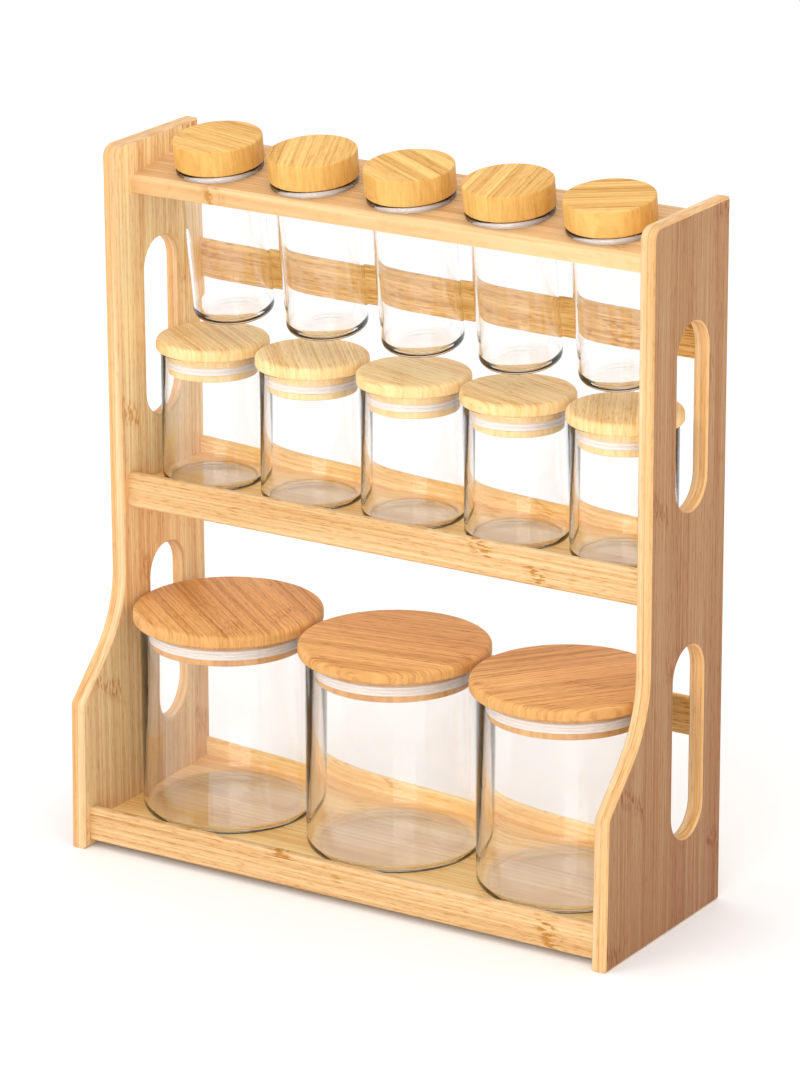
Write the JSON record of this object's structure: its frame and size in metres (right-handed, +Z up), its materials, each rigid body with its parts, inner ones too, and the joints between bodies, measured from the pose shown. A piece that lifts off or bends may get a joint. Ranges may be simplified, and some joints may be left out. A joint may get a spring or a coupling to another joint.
{
  "type": "spice rack",
  "caption": "Three-tier bamboo spice rack with slotted side panels, hanging glass bottles above and lidded glass jars and canisters below.",
  "frame": {"origin": "on the floor plane, under the middle of the two panels' feet across both width and depth", "axes": "+X along the rack towards the right panel seen from the front, +Y towards the back, +Z up"},
  "size_m": [0.35, 0.125, 0.4063],
  "materials": {
    "panel_bamboo": "clear satin lacquer over caramel bamboo",
    "board_bamboo": "clear satin lacquer over pale bamboo",
    "lid_bamboo": "clear satin lacquer over laminated bamboo",
    "cap_bamboo": "clear satin lacquer over laminated bamboo",
    "dowel_wood": "plain turned wood",
    "clear_glass": "clear",
    "silicone": "milky translucent"
  },
  "bodies": {
    "rack": {"side_panel_left": "panel_bamboo", "side_panel_right": "panel_bamboo", "bottle_board": "board_bamboo", "middle_shelf": "board_bamboo", "middle_front_rail": "board_bamboo", "middle_back_rail": "board_bamboo", "bottom_shelf": "board_bamboo", "bottom_front_rail": "board_bamboo", "bottom_back_rail": "board_bamboo", "upper_back_slat": "board_bamboo", "lower_back_slat": "board_bamboo", "shelf_dowels": "dowel_wood", "rail_dowels": "dowel_wood"},
    "bottle_1": {"bottle_1": "clear_glass"},
    "bottle_cap_1": {"bottle_cap_1": "cap_bamboo", "bottle_seal_1": "silicone"},
    "bottle_2": {"bottle_2": "clear_glass"},
    "bottle_cap_2": {"bottle_cap_2": "cap_bamboo", "bottle_seal_2": "silicone"},
    "bottle_3": {"bottle_3": "clear_glass"},
    "bottle_cap_3": {"bottle_cap_3": "cap_bamboo", "bottle_seal_3": "silicone"},
    "bottle_4": {"bottle_4": "clear_glass"},
    "bottle_cap_4": {"bottle_cap_4": "cap_bamboo", "bottle_seal_4": "silicone"},
    "bottle_5": {"bottle_5": "clear_glass"},
    "bottle_cap_5": {"bottle_cap_5": "cap_bamboo", "bottle_seal_5": "silicone"},
    "spice_jar_1": {"spice_jar_1": "clear_glass"},
    "spice_lid_1": {"spice_lid_1": "lid_bamboo", "spice_seal_1": "silicone"},
    "spice_jar_2": {"spice_jar_2": "clear_glass"},
    "spice_lid_2": {"spice_lid_2": "lid_bamboo", "spice_seal_2": "silicone"},
    "spice_jar_3": {"spice_jar_3": "clear_glass"},
    "spice_lid_3": {"spice_lid_3": "lid_bamboo", "spice_seal_3": "silicone"},
    "spice_jar_4": {"spice_jar_4": "clear_glass"},
    "spice_lid_4": {"spice_lid_4": "lid_bamboo", "spice_seal_4": "silicone"},
    "spice_jar_5": {"spice_jar_5": "clear_glass"},
    "spice_lid_5": {"spice_lid_5": "lid_bamboo", "spice_seal_5": "silicone"},
    "canister_1": {"canister_1": "clear_glass"},
    "canister_lid_1": {"canister_lid_1": "lid_bamboo", "canister_seal_1": "silicone"},
    "canister_2": {"canister_2": "clear_glass"},
    "canister_lid_2": {"canister_lid_2": "lid_bamboo", "canister_seal_2": "silicone"},
    "canister_3": {"canister_3": "clear_glass"},
    "canister_lid_3": {"canister_lid_3": "lid_bamboo", "canister_seal_3": "silicone"}
  },
  "joints": [
    {"name": "bottle_1_lift", "type": "slide", "parent": "rack", "child": "bottle_1", "axis": [0, -0.1392, 0.9903], "range_m": [0, 0.095]},
    {"name": "bottle_cap_1_pull", "type": "slide", "parent": "bottle_1", "child": "bottle_cap_1", "axis": [0, -0.1392, 0.9903], "range_m": [0, 0.03]},
    {"name": "bottle_2_lift", "type": "slide", "parent": "rack", "child": "bottle_2", "axis": [0, -0.1392, 0.9903], "range_m": [0, 0.095]},
    {"name": "bottle_cap_2_pull", "type": "slide", "parent": "bottle_2", "child": "bottle_cap_2", "axis": [0, -0.1392, 0.9903], "range_m": [0, 0.03]},
    {"name": "bottle_3_lift", "type": "slide", "parent": "rack", "child": "bottle_3", "axis": [0, -0.1392, 0.9903], "range_m": [0, 0.095]},
    {"name": "bottle_cap_3_pull", "type": "slide", "parent": "bottle_3", "child": "bottle_cap_3", "axis": [0, -0.1392, 0.9903], "range_m": [0, 0.03]},
    {"name": "bottle_4_lift", "type": "slide", "parent": "rack", "child": "bottle_4", "axis": [0, -0.1392, 0.9903], "range_m": [0, 0.095]},
    {"name": "bottle_cap_4_pull", "type": "slide", "parent": "bottle_4", "child": "bottle_cap_4", "axis": [0, -0.1392, 0.9903], "range_m": [0, 0.03]},
    {"name": "bottle_5_lift", "type": "slide", "parent": "rack", "child": "bottle_5", "axis": [0, -0.1392, 0.9903], "range_m": [0, 0.095]},
    {"name": "bottle_cap_5_pull", "type": "slide", "parent": "bottle_5", "child": "bottle_cap_5", "axis": [0, -0.1392, 0.9903], "range_m": [0, 0.03]},
    {"name": "spice_jar_1_lift", "type": "slide", "parent": "rack", "child": "spice_jar_1", "axis": [0, 0, 1], "range_m": [0, 0.0085]},
    {"name": "spice_lid_1_turn", "type": "hinge", "parent": "spice_jar_1", "child": "spice_lid_1", "pos_m": [-0.1332, 0.026, 0.28], "axis": [0, 0, 1], "range_deg": [-90, 90]},
    {"name": "spice_jar_2_lift", "type": "slide", "parent": "rack", "child": "spice_jar_2", "axis": [0, 0, 1], "range_m": [0, 0.0085]},
    {"name": "spice_lid_2_turn", "type": "hinge", "parent": "spice_jar_2", "child": "spice_lid_2", "pos_m": [-0.0666, 0.026, 0.28], "axis": [0, 0, 1], "range_deg": [-90, 90]},
    {"name": "spice_jar_3_lift", "type": "slide", "parent": "rack", "child": "spice_jar_3", "axis": [0, 0, 1], "range_m": [0, 0.0085]},
    {"name": "spice_lid_3_turn", "type": "hinge", "parent": "spice_jar_3", "child": "spice_lid_3", "pos_m": [0, 0.026, 0.28], "axis": [0, 0, 1], "range_deg": [-90, 90]},
    {"name": "spice_jar_4_lift", "type": "slide", "parent": "rack", "child": "spice_jar_4", "axis": [0, 0, 1], "range_m": [0, 0.0085]},
    {"name": "spice_lid_4_turn", "type": "hinge", "parent": "spice_jar_4", "child": "spice_lid_4", "pos_m": [0.0666, 0.026, 0.28], "axis": [0, 0, 1], "range_deg": [-90, 90]},
    {"name": "spice_jar_5_lift", "type": "slide", "parent": "rack", "child": "spice_jar_5", "axis": [0, 0, 1], "range_m": [0, 0.0085]},
    {"name": "spice_lid_5_turn", "type": "hinge", "parent": "spice_jar_5", "child": "spice_lid_5", "pos_m": [0.1332, 0.026, 0.28], "axis": [0, 0, 1], "range_deg": [-90, 90]},
    {"name": "canister_1_draw_out", "type": "slide", "parent": "rack", "child": "canister_1", "axis": [0, -0.788, 0.6157], "range_m": [0, 0.16]},
    {"name": "canister_lid_1_pull", "type": "slide", "parent": "canister_1", "child": "canister_lid_1", "axis": [0, 0, 1], "range_m": [0, 0.03]},
    {"name": "canister_2_draw_out", "type": "slide", "parent": "rack", "child": "canister_2", "axis": [0, -0.788, 0.6157], "range_m": [0, 0.16]},
    {"name": "canister_lid_2_pull", "type": "slide", "parent": "canister_2", "child": "canister_lid_2", "axis": [0, 0, 1], "range_m": [0, 0.03]},
    {"name": "canister_3_draw_out", "type": "slide", "parent": "rack", "child": "canister_3", "axis": [0, -0.788, 0.6157], "range_m": [0, 0.16]},
    {"name": "canister_lid_3_pull", "type": "slide", "parent": "canister_3", "child": "canister_lid_3", "axis": [0, 0, 1], "range_m": [0, 0.03]}
  ]
}
